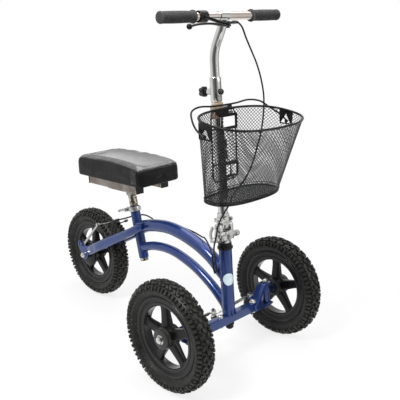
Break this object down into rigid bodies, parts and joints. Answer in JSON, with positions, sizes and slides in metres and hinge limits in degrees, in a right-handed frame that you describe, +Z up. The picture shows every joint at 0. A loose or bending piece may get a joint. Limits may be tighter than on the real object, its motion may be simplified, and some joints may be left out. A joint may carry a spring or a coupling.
{
  "type": "all-terrain knee walker",
  "caption": "Steerable knee walker with large knobbly tyres, arched frame, padded knee rest, folding column, hand brake and wire basket.",
  "frame": {"origin": "on the floor, under the centre of the walker's bounding box", "axes": "+X forward, +Y to the rider's left, +Z up"},
  "size_m": [0.9798, 0.5262, 1.0022],
  "materials": {
    "blue": "metallic blue lacquer on welded steel tube",
    "chrome": "bright chrome plate",
    "steel": "plain zinc-plated steel",
    "cast": "silver alloy casting",
    "black_metal": "black powder coat",
    "moulded": "black moulded plastic",
    "grip": "black ribbed rubber",
    "tyre": "dark warm-grey knobbly rubber",
    "pad": "black leatherette over foam",
    "board": "dark stained plywood"
  },
  "bodies": {
    "frame": {"head_tube": "blue", "main_tube": "blue", "lower_tube": "blue", "seat_tube": "blue", "stay_left": "blue", "stay_right": "blue", "front_beam": "blue", "headset_cup": "black_metal", "lower_bush": "black_metal", "kingpin_left": "steel", "kingpin_right": "steel", "rear_axle": "steel", "brake_plate": "black_metal", "seat_clamp": "steel", "cable_stop": "black_metal", "cable_frame": "moulded", "cable_neck": "moulded", "cable_wire": "steel"},
    "steering": {"steerer": "black_metal", "pitman_arm": "steel", "steerer_nut": "black_metal", "fold_base": "cast", "fold_pin": "steel"},
    "knuckle_left": {"knuckle_left": "steel", "axle_nut_left": "steel"},
    "knuckle_right": {"knuckle_right": "steel", "axle_nut_right": "steel"},
    "front_wheel_left": {"tyre_front_left": "tyre", "wheel_front_left": "moulded"},
    "front_wheel_right": {"tyre_front_right": "tyre", "wheel_front_right": "moulded"},
    "tie_rod_left": {"tie_rod_left": "steel"},
    "tie_rod_right": {"tie_rod_right": "steel"},
    "rear_wheel": {"tyre_rear": "tyre", "wheel_rear": "moulded"},
    "column": {"column_tube": "chrome", "fold_head": "cast", "guide_bolt": "moulded", "basket_bracket": "moulded", "cable_upper": "moulded", "cable_middle": "moulded"},
    "fold_lever": {"fold_lever": "steel"},
    "height_knob": {"height_knob": "moulded"},
    "stem": {"stem": "chrome", "handlebar": "chrome", "grip_left": "grip", "grip_right": "grip", "brake_perch": "black_metal"},
    "brake_lever": {"brake_lever": "black_metal"},
    "brake_arm": {"brake_arm": "steel"},
    "basket": {"basket_mesh": "black_metal", "basket_floor": "black_metal", "basket_wires": "black_metal", "basket_hanger": "black_metal"},
    "bail": {"basket_bail": "black_metal"},
    "seat": {"seat_post": "chrome", "seat_frame": "steel", "seat_board": "board", "seat_cushion": "pad"},
    "seat_lever": {"seat_clamp_lever": "steel"}
  },
  "joints": [
    {"name": "steer", "type": "hinge", "parent": "frame", "child": "steering", "pos_m": [0.31716, 0, 0.159], "axis": [-0.0913, 0, 0.9958], "range_deg": [-25, 25], "deforming": ["cable_neck"]},
    {"name": "kingpin_left", "type": "hinge", "parent": "frame", "child": "knuckle_left", "pos_m": [0.31716, 0.168, 0.159], "axis": [-0.0913, 0, 0.9958], "range_deg": [-27, 27]},
    {"name": "tie_rod_left", "type": "hinge", "parent": "steering", "child": "tie_rod_left", "pos_m": [0.25293, 0, 0.15311], "axis": [-0.0913, 0, 0.9958], "range_deg": [-27, 27]},
    {"name": "front_axle_left", "type": "hinge", "parent": "knuckle_left", "child": "front_wheel_left", "pos_m": [0.31166, 0.2305, 0.159], "axis": [0, 1, 0], "continuous": true},
    {"name": "kingpin_right", "type": "hinge", "parent": "frame", "child": "knuckle_right", "pos_m": [0.31716, -0.168, 0.159], "axis": [-0.0913, 0, 0.9958], "range_deg": [-27, 27]},
    {"name": "tie_rod_right", "type": "hinge", "parent": "steering", "child": "tie_rod_right", "pos_m": [0.25293, 0, 0.15311], "axis": [-0.0913, 0, 0.9958], "range_deg": [-27, 27]},
    {"name": "front_axle_right", "type": "hinge", "parent": "knuckle_right", "child": "front_wheel_right", "pos_m": [0.31166, -0.2305, 0.159], "axis": [0, 1, 0], "continuous": true},
    {"name": "rear_axle", "type": "hinge", "parent": "frame", "child": "rear_wheel", "pos_m": [-0.33135, 0, 0.159], "axis": [0, 1, 0], "continuous": true},
    {"name": "fold", "type": "hinge", "parent": "steering", "child": "column", "pos_m": [0.29396, 0, 0.41194], "axis": [0, 1, 0], "range_deg": [-52, 0], "deforming": ["cable_middle"]},
    {"name": "fold_lever", "type": "hinge", "parent": "steering", "child": "fold_lever", "pos_m": [0.29697, -0.0449, 0.37908], "axis": [0.9958, 0, 0.0913], "range_deg": [0, 110]},
    {"name": "height_knob", "type": "hinge", "parent": "column", "child": "height_knob", "pos_m": [0.21277, 0, 0.78257], "axis": [0.9958, 0, 0.0913], "continuous": true},
    {"name": "stem_height", "type": "slide", "parent": "column", "child": "stem", "axis": [-0.0913, 0, 0.9958], "range_m": [-0.03, 0.12], "deforming": ["cable_upper"]},
    {"name": "brake_lever", "type": "hinge", "parent": "stem", "child": "brake_lever", "pos_m": [0.3233, -0.025, 0.96794], "axis": [0.0913, 0, -0.9958], "range_deg": [0, 14], "stiffness_Nm_per_rad": 2, "springref_deg": -5.73},
    {"name": "brake_arm", "type": "hinge", "parent": "frame", "child": "brake_arm", "pos_m": [-0.34035, -0.0465, 0.196], "axis": [0, 1, 0], "range_deg": [0, 15], "deforming": ["cable_wire"]},
    {"name": "basket_lift", "type": "slide", "parent": "column", "child": "basket", "axis": [-0.0913, 0, 0.9958], "range_m": [0, 0.03]},
    {"name": "bail", "type": "hinge", "parent": "basket", "child": "bail", "pos_m": [0.37666, 0, 0.702], "axis": [0, 1, 0], "range_deg": [0, 98]},
    {"name": "seat_height", "type": "slide", "parent": "frame", "child": "seat", "axis": [-0.2504, 0, 0.9681], "range_m": [-0.036, 0.06]},
    {"name": "seat_lever", "type": "hinge", "parent": "frame", "child": "seat_lever", "pos_m": [-0.13283, -0.017, 0.36453], "axis": [-0.2504, 0, 0.9681], "range_deg": [0, 120]}
  ],
  "couplings": [
    {"joint": "kingpin_left", "follows": "steer", "ratio": 1},
    {"joint": "kingpin_right", "follows": "steer", "ratio": 1},
    {"joint": "tie_rod_left", "follows": "steer", "ratio": -1},
    {"joint": "tie_rod_right", "follows": "steer", "ratio": -1},
    {"joint": "brake_arm", "follows": "brake_lever", "ratio": 1}
  ]
}
